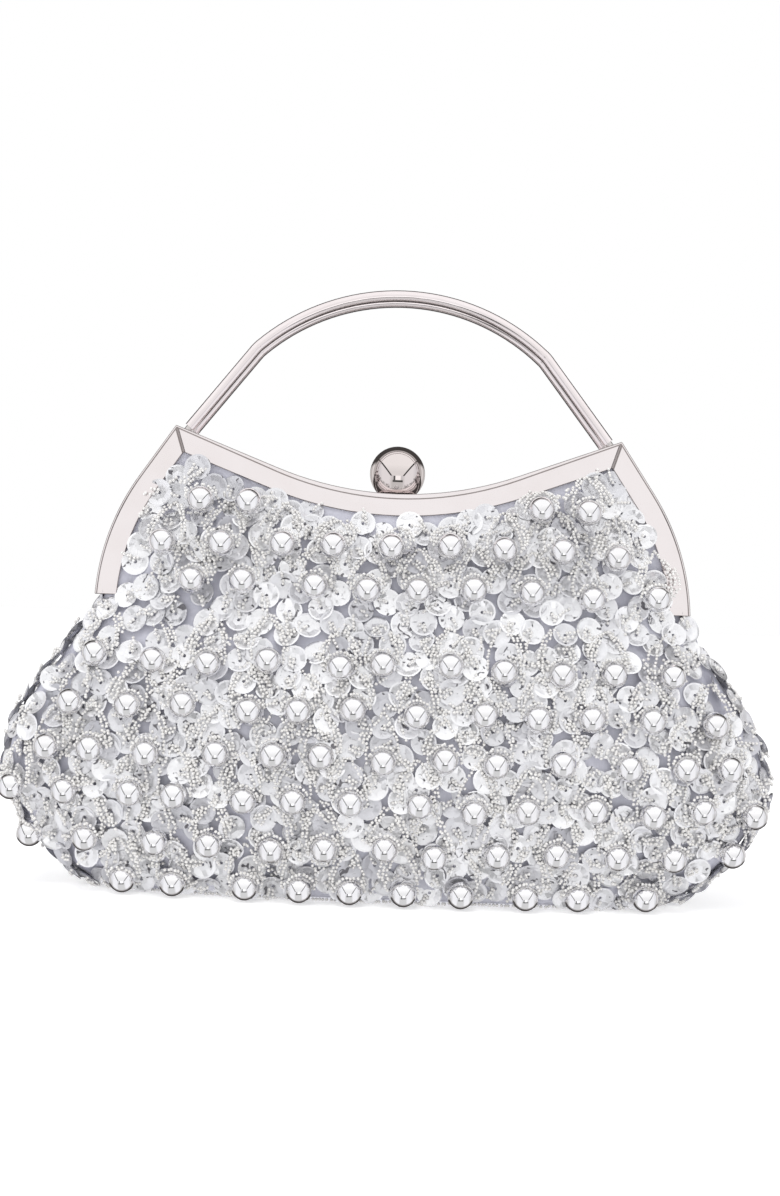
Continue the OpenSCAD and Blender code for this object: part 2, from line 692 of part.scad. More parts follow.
// Row j of the panel between the arms
function panel_row(j, side) = let (
    z = hinge_z + panel_rises[j],
    shift = (j + pouch_rows + side) % 2 / 2,
    count = floor(corner_x * row_spare / pearl_pitch)
  ) [for (i = [-count:count]) let (
      x = (i + shift) * pearl_pitch + stray * (2 * stray_of(i, j + 10, side) - 1),
      height = z + row_sag * stray * stray_of(i, j + 10, side + 2),
      u = x / arm_x(min(height, corner_z - corner_room), fabric_inset),
      v = (height - panel_foot) / (bar_z(x, fabric_inset) - panel_foot)
    ) if (abs(x) < arm_x(height, face_w) - pearl_r * arm_room
        && height < bar_z(x, face_w) - pearl_r * bar_room)
      [x, -max(half_depth, panel_y + bulge(x, min(1, u), min(1, v))) - panel_pearl_off, height]];

module beads(places) for (p = places) translate(p) sphere(r = pearl_r, $fn = bead_sides);

module beads_front_pouch() color([0.82, 0.82, 0.84]) for (j = [0:pouch_rows - 1]) beads(pouch_row(j, 1));
module beads_rear_pouch() color([0.82, 0.82, 0.84]) mirror([0, 1, 0])
  for (j = [0:pouch_rows - 1]) beads(pouch_row(j, 2));
module beads_front_panel() color([0.82, 0.82, 0.84])
  for (j = [0:len(panel_rises) - 1]) beads(panel_row(j, 1));
module beads_rear_panel() color([0.82, 0.82, 0.84]) mirror([0, 1, 0])
  for (j = [0:len(panel_rises) - 1]) beads(panel_row(j, 2));

satin_shell();
padding();
lining();
base_board();
lining_pocket();
beads_front_pouch();
beads_rear_pouch();
front_frame();
front_handle();
front_handle_studs();
front_handle_nuts();
front_panel();
front_panel_lining();
front_gimp();
beads_front_panel();
clasp_keeper();
keeper_rivets();
rear_frame();
rear_handle();
rear_handle_studs();
rear_handle_nuts();
rear_panel();
rear_panel_lining();
rear_gimp();
beads_rear_panel();
hinge_rivets();
clasp_bracket();
bracket_rivets();
clasp_pin();
clasp_spring();
clasp_lever();
clasp_ball();
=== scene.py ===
# %% [markdown]
# # Beaded evening bag: its looks
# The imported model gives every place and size. This notebook lays cloth, sequins, seed beads and polished
# metal over it, in metres, with the bag's front towards -Y and its base on z = 0.

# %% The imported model
import math
import random
from itertools import product

import bmesh
import bpy
import numpy as np
from mathutils import Matrix, Vector
from mathutils.bvhtree import BVHTree


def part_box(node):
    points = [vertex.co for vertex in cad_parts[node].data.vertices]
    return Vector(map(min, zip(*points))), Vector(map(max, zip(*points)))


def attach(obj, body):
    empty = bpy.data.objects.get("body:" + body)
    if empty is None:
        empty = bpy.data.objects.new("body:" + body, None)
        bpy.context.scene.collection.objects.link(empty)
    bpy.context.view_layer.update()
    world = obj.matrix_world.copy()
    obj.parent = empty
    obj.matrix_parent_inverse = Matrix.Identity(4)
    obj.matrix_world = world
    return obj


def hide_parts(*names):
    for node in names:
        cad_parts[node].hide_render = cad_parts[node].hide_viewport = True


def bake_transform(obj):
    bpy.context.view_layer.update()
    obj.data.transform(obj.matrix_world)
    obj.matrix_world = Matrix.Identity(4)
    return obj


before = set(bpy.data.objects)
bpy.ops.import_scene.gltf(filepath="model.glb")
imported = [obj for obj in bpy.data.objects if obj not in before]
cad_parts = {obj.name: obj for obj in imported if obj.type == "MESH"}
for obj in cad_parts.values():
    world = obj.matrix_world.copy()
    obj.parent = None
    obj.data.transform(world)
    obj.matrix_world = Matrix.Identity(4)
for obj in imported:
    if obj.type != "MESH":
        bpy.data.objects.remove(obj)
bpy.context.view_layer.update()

mm = 0.001

# %% [markdown]
# ## Small helpers
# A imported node's mesh is only measured, never changed: a new piece is made beside it and stands for it.
# A material is a small tree of nodes, so a few one-line helpers keep its recipe readable.

# %% Helpers for meshes
def tree_of(name):
    """A node's faces, ready to be measured with straight lines."""
    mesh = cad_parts[name].data
    return BVHTree.FromPolygons([v.co.copy() for v in mesh.vertices], [list(p.vertices) for p in mesh.polygons])


def mesh_from(name, bm):
    """The finished bmesh as a mesh."""
    mesh = bpy.data.meshes.new(name)
    bm.to_mesh(mesh)
    bm.free()
    return mesh


def piece_from(name, mesh, material, smooth=True):
    """A new piece from a finished mesh, at the origin."""
    mesh.polygons.foreach_set("use_smooth", [smooth] * len(mesh.polygons))
    mesh.materials.append(material)
    piece = bpy.data.objects.new(name, mesh)
    bpy.context.scene.collection.objects.link(piece)
    print(f"{name}: {len(mesh.polygons)} faces")
    return piece


def rounded(piece):
    """One level of subdivision, the same in every view."""
    rounder = piece.modifiers.new("rounder", "SUBSURF")
    rounder.levels = rounder.render_levels = 1


def unit(rows):
    """Each row as a vector of length one."""
    return rows / np.maximum(np.linalg.norm(rows, axis=-1, keepdims=True), 1e-12)


# %% Helpers for materials
COLOUR, NUMBER, VECTOR = "NodeSocketColor", "NodeSocketFloat", "NodeSocketVector"
WHITE = (1.0, 1.0, 1.0, 1.0)


def put(tree, kind, values=(), **settings):
    """A node whose inputs are plain values or other nodes' outputs."""
    made = tree.nodes.new("ShaderNode" + kind)
    for key, value in settings.items():
        setattr(made, key, value)
    for key, value in dict(values).items():
        if isinstance(value, bpy.types.NodeSocket):
            tree.links.new(value, made.inputs[key])
        else:
            made.inputs[key].default_value = value
    return made


def calc(tree, operation, a, b=0.0, c=0.0):
    return put(tree, "Math", {0: a, 1: b, 2: c}, operation=operation).outputs[0]


def blend_colours(tree, share, a, b, how="MIX"):
    return put(tree, "Mix", {0: share, 6: a, 7: b}, data_type="RGBA", blend_type=how).outputs[2]


def noise(tree, place, scale, **more):
    values = {"Vector": place, "Scale": scale, **more}
    return put(tree, "TexNoise", values).outputs[0]


def stretch(tree, value, low, high, to_low=0.0, to_high=1.0):
    """Value from low to high, spread over to_low to to_high and kept inside them."""
    return put(tree, "MapRange", {0: value, 1: low, 2: high, 3: to_low, 4: to_high}).outputs[0]


def bumped(tree, height, strength, distance):
    """The surface's direction once small heights are pressed into it."""
    values = {"Strength": strength, "Distance": distance, "Height": height}
    return put(tree, "Bump", values).outputs[0]


def group(name, inputs, outputs):
    """A shared effect: its tree, what comes in and what goes out."""
    made = bpy.data.node_groups.new(name, "ShaderNodeTree")
    for label, kind, value in inputs:
        made.interface.new_socket(label, in_out="INPUT", socket_type=kind).default_value = value
    for label, kind in outputs:
        made.interface.new_socket(label, in_out="OUTPUT", socket_type=kind)
    return made, made.nodes.new("NodeGroupInput").outputs, made.nodes.new("NodeGroupOutput").inputs


# %% [markdown]
# ## Polish
# The frame, the handles, the ball and the round beads are plated and buffed. A buffed face isn't even:
# fingers leave faint dull clouds on it, and cloths leave hairline scratches. Two stretched noises make the
# hairlines and one soft noise makes the clouds, which costs less than modelled scratches and holds at any
# distance. Every metal shares this one group and only turns its amounts up or down.

# %% Polish group
polish, given, out = group(
    "polish",
    [
        ("Colour", COLOUR, WHITE),
        ("Roughness", NUMBER, 0.08),
        ("Scratches", NUMBER, 0.3),
        ("Handling", NUMBER, 0.3),
    ],
    [("Colour", COLOUR), ("Roughness", NUMBER), ("Normal", VECTOR)],
)
place = put(polish, "TexCoord").outputs["Object"]


def hairlines(turn, scale, low, high):
    """Fine scratches that run one way."""
    lines = put(polish, "Mapping", {"Vector": place, "Rotation": turn, "Scale": scale}).outputs[0]
    return stretch(polish, noise(polish, lines, 1.0, Detail=2.0), low, high)


hairs = calc(
    polish,
    "MAXIMUM",
    hairlines((0.3, 0.5, 0.2), (260.0, 2600.0, 2600.0), 0.64, 0.74),
    hairlines((0.9, -0.4, 1.1), (2200.0, 300.0, 2200.0), 0.66, 0.76),
)
patches = stretch(polish, noise(polish, place, 70.0, Detail=4.0, Roughness=0.55), 0.42, 0.72)
worn = calc(polish, "MULTIPLY", patches, given["Handling"])
dull = blend_colours(polish, 1.0, given["Colour"], (0.86, 0.83, 0.81, 1.0), "MULTIPLY")
rough = calc(polish, "MULTIPLY_ADD", worn, 0.10, given["Roughness"])
scratched = calc(polish, "MULTIPLY", hairs, given["Scratches"])
pressed = bumped(polish, calc(polish, "SUBTRACT", 1.0, hairs), given["Scratches"], 0.000008)
polish.links.new(blend_colours(polish, worn, given["Colour"], dull), out["Colour"])
polish.links.new(calc(polish, "MULTIPLY_ADD", scratched, 0.18, rough), out["Roughness"])
polish.links.new(pressed, out["Normal"])

# %% [markdown]
# ## Weave
# Satin shines because its threads float over several others before they dive. Lining cloth crosses over
# and under at each thread, so its floats are short. An image of a weave would need a UV map on every sheet;
# two noises, drawn out along the threads by the float's length, follow the cloth without one.

# %% Weave group
weave, given, out = group(
    "weave",
    [
        ("Colour", COLOUR, WHITE),
        ("Shade", COLOUR, WHITE),
        ("Thread", NUMBER, 3200.0),
        ("Float length", NUMBER, 6.0),
        ("Relief", NUMBER, 0.5),
    ],
    [("Colour", COLOUR), ("Roughness", NUMBER), ("Normal", VECTOR)],
)
place = put(weave, "TexCoord").outputs["Object"]
thread = given["Thread"]
drawn = calc(weave, "DIVIDE", thread, given["Float length"])


def threads_along(*scales):
    """Threads from a noise with its own scale in X, Y and Z."""
    sizes = put(weave, "CombineXYZ", dict(enumerate(scales))).outputs[0]
    spread = put(weave, "VectorMath", {0: place, 1: sizes}, operation="MULTIPLY").outputs[0]
    return noise(weave, spread, 1.0, Detail=1.0)


warp = calc(weave, "MULTIPLY", threads_along(thread, thread, drawn), 0.55)
threads = calc(weave, "MULTIPLY_ADD", threads_along(drawn, drawn, thread), 0.45, warp)
mottle = calc(weave, "MULTIPLY", stretch(weave, noise(weave, place, 38.0, Detail=3.0), 0.35, 0.65), 0.5)
share = calc(weave, "MULTIPLY_ADD", stretch(weave, threads, 0.35, 0.65), 0.5, mottle)
weave.links.new(blend_colours(weave, share, given["Shade"], given["Colour"]), out["Colour"])
weave.links.new(stretch(weave, threads, 0.3, 0.7, 0.62, 0.34), out["Roughness"])
weave.links.new(bumped(weave, threads, given["Relief"], 0.00006), out["Normal"])

# %% [markdown]
# ## Own tint
# Sequins and seed beads come from mixed batches, so each is a little lighter or darker than the next. A
# material for each shade would be heavy. Instead every point carries a number, tint, that is the same all
# over one sequin or bead, and the shader mixes between a light and a dark finish by it.

# %% Own tint group
own_tint, given, out = group(
    "own_tint",
    [
        ("Light", COLOUR, WHITE),
        ("Dark", COLOUR, WHITE),
        ("Low roughness", NUMBER, 0.1),
        ("High roughness", NUMBER, 0.3),
    ],
    [("Colour", COLOUR), ("Roughness", NUMBER)],
)
tint = put(own_tint, "Attribute", attribute_name="tint").outputs["Fac"]
tinted_rough = stretch(own_tint, tint, 0.0, 1.0, given["Low roughness"], given["High roughness"])
own_tint.links.new(blend_colours(own_tint, tint, given["Light"], given["Dark"]), out["Colour"])
own_tint.links.new(tinted_rough, out["Roughness"])

# %% [markdown]
# ## The materials
# The metals are one pinkish nickel plate in several states: bright on the frame's faces, darker on the ball,
# dark in broken edges as a painted dark reflection line, duller on rivets and spring. The cloths are a
# lavender-grey satin, its darker lining, the cotton gimp in the channels and the card in the base.

# %% Material makers
def new_material(name):
    """A material with its shader, ready for its inputs."""
    made = bpy.data.materials.new(name)
    made.use_nodes = True
    return made, made.node_tree, made.node_tree.nodes["Principled BSDF"]


def use(tree, shader, effect, values, **constants):
    """Feeds the shader's colour, roughness and normal from a shared effect."""
    node = put(tree, "Group", node_tree=effect)
    for key, value in values.items():
        node.inputs[key].default_value = value
    tree.links.new(node.outputs["Colour"], shader.inputs["Base Color"])
    tree.links.new(node.outputs["Roughness"], shader.inputs["Roughness"])
    if "Normal" in node.outputs:
        tree.links.new(node.outputs["Normal"], shader.inputs["Normal"])
    for key, value in constants.items():
        shader.inputs[key.replace("_", " ")].default_value = value
    return node.outputs["Colour"]


def metal(name, colour, roughness, scratches, handling):
    made, tree, shader = new_material(name)
    values = {"Colour": (*colour, 1.0), "Roughness": roughness, "Scratches": scratches, "Handling": handling}
    use(tree, shader, polish, values, Metallic=1.0)
    return made


def cloth(name, colour, shade, thread, length, relief, **constants):
    made, tree, shader = new_material(name)
    values = {"Colour": (*colour, 1.0), "Shade": (*shade, 1.0)}
    values |= {"Thread": thread, "Float length": length, "Relief": relief}
    use(tree, shader, weave, values, **constants)
    return made


# %% Metals: colour, roughness, scratches, handling
frame_metal = metal("frame_metal", (0.915, 0.86, 0.862), 0.05, 0.25, 0.25)
handle_metal = metal("handle_metal", (0.87, 0.81, 0.815), 0.06, 0.35, 0.35)
ball_metal = metal("ball_metal", (0.74, 0.68, 0.665), 0.03, 0.12, 0.15)
bead_metal = metal("bead_metal", (0.90, 0.895, 0.91), 0.05, 0.15, 0.2)
# A dark metal for the frame's front bevels: it paints in the thin dark line that the bends mirror, a painted
# reflection.
painted_dark_edge_metal = metal("painted_dark_edge_metal", (0.36, 0.325, 0.32), 0.16, 0.5, 0.8)
fixing_metal = metal("fixing_metal", (0.66, 0.63, 0.62), 0.22, 0.6, 0.7)
spring_metal = metal("spring_metal", (0.50, 0.50, 0.53), 0.28, 0.5, 0.8)

# %% Cloths: colour, shade, threads, float length, relief
satin = cloth(
    "satin", (0.67, 0.67, 0.74), (0.54, 0.54, 0.62), 3600.0, 7.0, 0.35, Sheen_Weight=0.35, Sheen_Roughness=0.35
)
lining_cloth = cloth("lining_cloth", (0.40, 0.40, 0.46), (0.27, 0.27, 0.33), 2600.0, 1.6, 0.6, Sheen_Weight=0.2)
gimp_cloth = cloth("gimp_cloth", (0.72, 0.70, 0.66), (0.50, 0.48, 0.45), 1500.0, 1.3, 0.9)
board_card = cloth("board_card", (0.52, 0.42, 0.30), (0.38, 0.30, 0.21), 700.0, 3.0, 0.5)

# %% [markdown]
# ## Sequin foil
# A sequin is clear plastic over foil: bright, not quite a mirror, crinkled from being pressed. Part metallic
# and part coated gives that, and a noise paints a few near-black flecks into its colour: painted dark
# reflections.

# %% Sequin foil
sequin_foil, nodes_of, shader = new_material("sequin_foil")
foil = {"Light": (0.93, 0.93, 0.945, 1.0), "Dark": (0.56, 0.56, 0.60, 1.0)}
foil |= {"Low roughness": 0.14, "High roughness": 0.30}
foil_colour = use(nodes_of, shader, own_tint, foil, Metallic=0.62, Coat_Weight=0.4, Coat_Roughness=0.06)
place = put(nodes_of, "TexCoord").outputs["Object"]
# A narrow band of a noise paints near-black flecks into the foil's colour: painted dark reflections, not
# creases.
painted_dark_flecks = stretch(nodes_of, noise(nodes_of, place, 310.0, Detail=1.0, Distortion=1.2), 0.675, 0.70)
foil_with_painted_flecks = blend_colours(nodes_of, painted_dark_flecks, foil_colour, (0.16, 0.155, 0.17, 1.0))
crinkled = bumped(nodes_of, noise(nodes_of, place, 420.0, Detail=2.0), 0.35, 0.00008)
nodes_of.links.new(foil_with_painted_flecks, shader.inputs["Base Color"])
nodes_of.links.new(crinkled, shader.inputs["Normal"])

# %% [markdown]
# ## Crystal
# A seed bead is clear glass with a bright lining. Thousands of them as real glass would be slow and noisy
# at this size, so each is a pale core under a full clear coat, with small bright spots painted into its colour
# as glints: painted highlights.

# %% Crystal seed beads
crystal, nodes_of, shader = new_material("crystal")
glass = {"Light": (0.96, 0.955, 0.94, 1.0), "Dark": (0.80, 0.775, 0.745, 1.0)}
glass |= {"Low roughness": 0.10, "High roughness": 0.28}
glass_colour = use(
    nodes_of, shader, own_tint, glass, Metallic=0.08, Coat_Weight=1.0, Coat_Roughness=0.03, IOR=1.55
)
place = put(nodes_of, "TexCoord").outputs["Object"]
# Small bright spots painted into the bead colour, darker between them: painted highlights.
painted_glint_spots = put(nodes_of, "TexVoronoi", {"Vector": place, "Scale": 1900.0}).outputs["Distance"]
core_with_painted_glints = blend_colours(nodes_of, stretch(nodes_of, painted_glint_spots, 0.25, 0.62), glass_colour, (0.80, 0.785, 0.765, 1.0))
nodes_of.links.new(core_with_painted_glints, shader.inputs["Base Color"])
print("materials:", len(bpy.data.materials))

# %% [markdown]
# ## The bag's outline
# The satin has to meet the frame exactly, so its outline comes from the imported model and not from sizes
# written again here. Straight lines sent at the model find the frame's edges, and the pouch's width and
# depth at each height. The model is faceted, so smooth curves are laid through what they find.

# %% Measures of the frame and the pouch
shell_tree, frame_tree, panel_tree = tree_of("satin_shell"), tree_of("front_frame"), tree_of("front_panel")
rivets_low, rivets_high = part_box("hinge_rivets")
hinge_z = rivets_low[2] / 2 + rivets_high[2] / 2
frame_low, frame_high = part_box("front_frame")
face_back = frame_low[1] + 0.7 * mm
far = 0.4
section_power = 2.4
# How much wider the true curve is than the facets that stand for it
facet = 1.0026
# Lengths go into the fitted curves in tenths of a metre, which keeps their powers near one
fit_unit = 10


def curve_through(xs, ys, powers):
    """The best sum of these powers of x through the points."""
    rows = np.array([[x**p for p in powers] for x in xs])
    factors = np.linalg.lstsq(rows, np.array(ys), rcond=None)[0]
    return lambda x: sum(f * np.abs(x) ** p for f, p in zip(factors, powers))


arm_places = np.linspace(hinge_z + 6 * mm, frame_high[2] - 1 * mm, 30)
arm_widths = [frame_tree.ray_cast(Vector((far, face_back, z)), Vector((-1, 0, 0)))[0].x for z in arm_places]
arm_curve = curve_through((arm_places - hinge_z) * fit_unit, arm_widths, (0, 1, 2, 3, 4))
bar_places = np.linspace(12 * mm, 76 * mm, 24)
bar_heights = [frame_tree.ray_cast(Vector((x, face_back, far)), Vector((0, 0, -1)))[0].z for x in bar_places]
bar_curve = curve_through(bar_places * fit_unit, bar_heights, (0, 2, 4, 6))


def outer_edge(z):
    """How far out the side arm's outer edge is at height z."""
    return float(arm_curve(fit_unit * max(0.0, z - hinge_z)))


def bar_edge(x):
    """How high the top bar's upper edge is at distance x."""
    return float(bar_curve(fit_unit * x))


levels = np.concatenate([[0.8 * mm], np.linspace(3, 86, 22) * mm])
widths = [shell_tree.ray_cast(Vector((far, 0, z)), Vector((-1, 0, 0)))[0].x * facet for z in levels]
depths = [-shell_tree.ray_cast(Vector((0, -far, z)), Vector((0, 1, 0)))[0].y * facet for z in levels]
rim = shell_tree.ray_cast(Vector((0, -far, hinge_z - 0.5 * mm)), Vector((0, 1, 0)))[0]
levels = np.concatenate([levels, [hinge_z]])
widths.append(frame_high[0] + 0.5 * mm)
depths.append(-rim.y * facet)
print("pouch half widths", [round(w / mm) for w in widths[::5]])
print("pouch half depths", [round(d / mm, 1) for d in depths[::5]])

# %% [markdown]
# ## The satin's grid
# On the real bag one piece of satin runs from under the base, over the belly and in at the waist, up into
# the frame's channel. A shrink-wrapped ball would lose the corners, and separate panels would show a seam
# at the hinge. So each face is one grid: across the bag, and up through the base, the wall, the neck and
# the panel between the arms, whose rows are eased into each other at the waist.

# %% Grid of the front
across_n, base_rows, wall_rows, neck_rows, panel_rows = 96, 3, 26, 4, 17
base_z, wall_foot, neck_low, panel_foot = 0.3 * mm, 0.9 * mm, 86 * mm, 106 * mm
arm_inset, bar_inset = 5.3 * mm, 4.7 * mm
# Above 1, this crowds the wall's rows towards the base, where it curves most
row_power = 1.15
smooth_levels = np.linspace(0.8 * mm, hinge_z, 60)
width_at = np.interp(smooth_levels, levels, widths)
depth_at = np.interp(smooth_levels, levels, depths)
for _ in range(3):
    width_at[1:-1] = (width_at[:-2] + 2 * width_at[1:-1] + width_at[2:]) / 4
    depth_at[1:-1] = (depth_at[:-2] + 2 * depth_at[1:-1] + depth_at[2:]) / 4


def bulged(c):
    """A sine or cosine pushed outwards, which squares a circle a little."""
    return math.copysign(abs(c) ** (2 / section_power), c)


def wall_point(u, z):
    """Point of the pouch's wall at share u of the way across and height z."""
    w, d = np.interp(z, smooth_levels, width_at), np.interp(z, smooth_levels, depth_at)
    return (w * bulged(math.sin(math.pi / 2 * u)), -d * bulged(math.cos(math.pi / 2 * u)), z)


# The cloth's top corner is where the inset arm meets the inset bar
top_z = frame_high[2]
for _ in range(12):
    top_z = bar_edge(outer_edge(min(top_z, frame_high[2] - 1.5 * mm)) - arm_inset) - bar_inset
corner_x = outer_edge(top_z) - arm_inset


def panel_point(u, v):
    """Point of the cloth between the arms, at share u across and v up."""
    side = math.sin(math.pi / 2 * u)
    x = side * (outer_edge(panel_foot + v * (top_z - panel_foot)) - arm_inset)
    z = panel_foot + v * (bar_edge(side * corner_x) - bar_inset - panel_foot)
    place = panel_tree.ray_cast(Vector((x, -far, z)), Vector((0, 1, 0)))[0]
    return (x, place.y if place else panel_tree.find_nearest(Vector((x, -9 * mm, z)))[0].y, z)


def wall_height(j):
    """Height of row j of the wall."""
    return wall_foot + (neck_low - wall_foot) * (j / (wall_rows - 1)) ** row_power


shares = [2 * i / across_n - 1 for i in range(across_n + 1)]
base_edge = [wall_point(u, wall_foot) for u in shares]
rows = [[(x, y * j / base_rows, base_z) for x, y, _ in base_edge] for j in range(base_rows)]
rows += [[wall_point(u, wall_height(j)) for u in shares] for j in range(wall_rows)]
last_wall, first_panel = np.array(rows[-1]), np.array([panel_point(u, 0) for u in shares])
neck_shares = [(j + 1) / (neck_rows + 1) for j in range(neck_rows)]
rows += [last_wall * (1 - t) + first_panel * t for t in neck_shares]
rows += [[panel_point(u, j / panel_rows) for u in shares] for j in range(panel_rows + 1)]
front_grid = np.array([np.array(row) for row in rows])

# The rows from just under the neck up to the bar are eased into each other
ease_start = base_rows + wall_rows - 4
for _ in range(10):
    middle = front_grid[ease_start:-1]
    eased = (front_grid[ease_start - 1 : -2] + 2 * middle + front_grid[ease_start + 1 :]) / 4
    middle[:, 1:-1] = (eased[:, :-2] + 2 * eased[:, 1:-1] + eased[:, 2:]) / 4
print("satin grid", front_grid.shape)

# %% [markdown]
# ## The satin, let go as cloth
# Gathered satin over padding puckers between the places that hold it. Folds drawn by hand look regular, so
# the satin starts with a few shallow waves at the waist and base and is then let go as cloth: light
# pressure fills it, the frame, the ends and the base hold it, and no point may move far. That also keeps
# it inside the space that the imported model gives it.

# %% Sheets and their folds
waist_z, hem_z, end_depth, bar_hold = 98 * mm, 8 * mm, 8 * mm, 12 * mm


def grid_piece(name, grid, material, outwards):
    """A sheet through a grid of points, its faces turned outwards: -1 to the front, 1 to the rear."""
    bm = bmesh.new()
    nv, nu = grid.shape[0] - 1, grid.shape[1] - 1
    bmesh.ops.create_grid(bm, x_segments=nu, y_segments=nv, size=1.0)
    for v in bm.verts:
        i, j = round((v.co.x + 1) / 2 * nu), round((v.co.y + 1) / 2 * nv)
        v.co = Vector(grid[j, i])
    bm.normal_update()
    centre = Vector(grid[nv // 2, nu // 2])
    middle_face = min(bm.faces, key=lambda f: (f.calc_center_median() - centre).length)
    if (middle_face.normal.y > 0) != (outwards > 0):
        bmesh.ops.reverse_faces(bm, faces=bm.faces)
    return piece_from(name, mesh_from(name, bm), material)


def puckers(grid, seed, depth):
    """Soft folds where the cloth is gathered at the waist and the base."""
    rng = random.Random(seed)
    waves = [(rng.uniform(30, 95), rng.uniform(0, 6.28), rng.uniform(0.4, 1.0)) for _ in range(5)]
    out = grid.copy()
    x, z = grid[..., 0], grid[..., 2]
    fold = sum(a * np.sin(f * x + p + 14 * z) for f, p, a in waves) / 3
    at_waist = np.exp(-(((z - waist_z) / (16 * mm)) ** 2))
    at_base = np.exp(-(((z - hem_z) / (12 * mm)) ** 2))
    free = np.clip((np.abs(grid[..., 1]) - end_depth) / (6 * mm), 0, 1) * np.clip(z / (3 * mm), 0, 1)
    out[..., 1] += np.sign(grid[..., 1]) * depth * fold * (at_waist + 0.7 * at_base) * free
    return out


# %% Cloth under light pressure
def held_by_frame(co):
    """True for points of the base, the two ends and the edge under the top bar."""
    under_bar = bar_edge(min(abs(co[0]), corner_x)) - bar_hold
    return co[2] < 1 * mm or abs(co[1]) < end_depth or co[2] > under_bar


def let_go(piece, held, pressure, cap, steps=20):
    """Cloth under light air pressure: swells and puckers between the points that are held."""
    rest = np.array([v.co for v in piece.data.vertices])
    pins = piece.vertex_groups.new(name="held")
    pins.add([i for i, co in enumerate(rest) if held(co)], 1.0, "REPLACE")
    rule = piece.modifiers.new("let_go", "CLOTH")
    how = rule.settings
    how.vertex_group_mass = "held"
    how.quality = 5
    how.mass = 0.25
    how.tension_stiffness = how.compression_stiffness = 12
    how.bending_stiffness = 0.6
    how.shrink_min = -0.025
    how.use_pressure = True
    how.uniform_pressure_force = pressure
    how.effector_weights.gravity = 0.0
    rule.collision_settings.use_collision = False
    rule.point_cache.frame_start, rule.point_cache.frame_end = 1, steps
    for step in range(1, steps + 1):
        bpy.context.scene.frame_set(step)
    seen = piece.evaluated_get(bpy.context.evaluated_depsgraph_get())
    moved = np.array([v.co for v in seen.data.vertices]) - rest
    piece.modifiers.remove(rule)
    bpy.context.scene.frame_set(1)
    length = np.linalg.norm(moved, axis=1, keepdims=True)
    moved *= np.minimum(1.0, cap / np.maximum(length, 1e-9))
    piece.data.vertices.foreach_set("co", (rest + moved).ravel())
    piece.data.update()
    print(piece.name, "moved at most", round(float(length.max()) / mm, 2), "mm, kept to", cap / mm)


# %% The two faces
rear_grid = front_grid * np.array([1, -1, 1])
skins = {}
for side, grid, seed, outwards in (("front", front_grid, 11, -1), ("rear", rear_grid, 23, 1)):
    skins[side] = grid_piece(f"satin_{side}", puckers(grid, seed, 0.9 * mm), satin, outwards)
    let_go(skins[side], held_by_frame, pressure=3.0, cap=1.6 * mm)
grids = {side: np.array([v.co for v in skins[side].data.vertices]).reshape(front_grid.shape) for side in skins}

# %% [markdown]
# ## Where things are sewn
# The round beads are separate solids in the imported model, so their middles are read from it. Sequins are
# sewn by hand, close but not in rows: a place is drawn at random, and kept if no sequin is too near. That
# gives the even, unruly cover of handwork, which a regular pattern with a little shake in it does not.

# %% Places of the metal beads
def bead_centres(name):
    """Middle of each separate ball in a node, from the lowest up."""
    bm = bmesh.new()
    bm.from_mesh(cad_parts[name].data)
    bmesh.ops.remove_doubles(bm, verts=bm.verts, dist=1e-6)
    left, centres = set(bm.verts), []
    while left:
        stack, ball = [left.pop()], []
        while stack:
            v = stack.pop()
            ball.append(v.co.copy())
            joined = {e.other_vert(v) for e in v.link_edges} & left
            left -= joined
            stack.extend(joined)
        centres.append((Vector(map(min, zip(*ball))) + Vector(map(max, zip(*ball)))) / 2)
    bm.free()
    return sorted(centres, key=lambda c: (round(c.z, 3), c.x))


bead_nodes = {
    "beads_front_pouch": ("front", "pouch"),
    "beads_rear_pouch": ("rear", "pouch"),
    "beads_front_panel": ("front", "front_half"),
    "beads_rear_panel": ("rear", "rear_half"),
}
beads = {name: bead_centres(name) for name in bead_nodes}
bead_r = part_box("beads_front_pouch")[1][2] - max(c.z for c in beads["beads_front_pouch"])
print({name: len(places) for name, places in beads.items()})


# %% Surface of a face
class Face:
    """One face's satin: where a point on it is, and which way it looks."""

    def __init__(self, grid, outwards):
        self.grid = grid
        right = np.gradient(grid, axis=1)
        up = np.gradient(grid, axis=0)
        out = unit(np.cross(right, up))
        middle = out[grid.shape[0] // 2, grid.shape[1] // 2]
        self.out = out if np.sign(middle[1]) == outwards else -out
        cells = np.linalg.norm(np.cross(right[:-1, :-1], up[:-1, :-1]), axis=-1)
        self.areas = cells.ravel() / cells.sum()
        bm = bmesh.new()
        bmesh.ops.create_grid(bm, x_segments=grid.shape[1] - 1, y_segments=grid.shape[0] - 1, size=1.0)
        points = [Vector(p) for p in grid.reshape(-1, 3)]
        self.tree = BVHTree.FromPolygons(points, [[v.index for v in f.verts] for f in bm.faces])
        bm.free()

    def at(self, cell, a, b):
        """Point and outward direction at shares a and b of the way over a cell."""
        j, i = divmod(cell, self.grid.shape[1] - 1)

        def mixed(rows):
            low = rows[j, i] * (1 - a) + rows[j, i + 1] * a
            high = rows[j + 1, i] * (1 - a) + rows[j + 1, i + 1] * a
            return low * (1 - b) + high * b

        return mixed(self.grid), unit(mixed(self.out))


faces = {"front": Face(grids["front"], -1), "rear": Face(grids["rear"], 1)}

# %% Sowing
neighbours = [np.array(step) for step in product((-1, 0, 1), repeat=3)]
sequin_foot, frame_foot = 3.2 * mm, 101 * mm
arm_room, bar_room = 11 * mm, 11.5 * mm


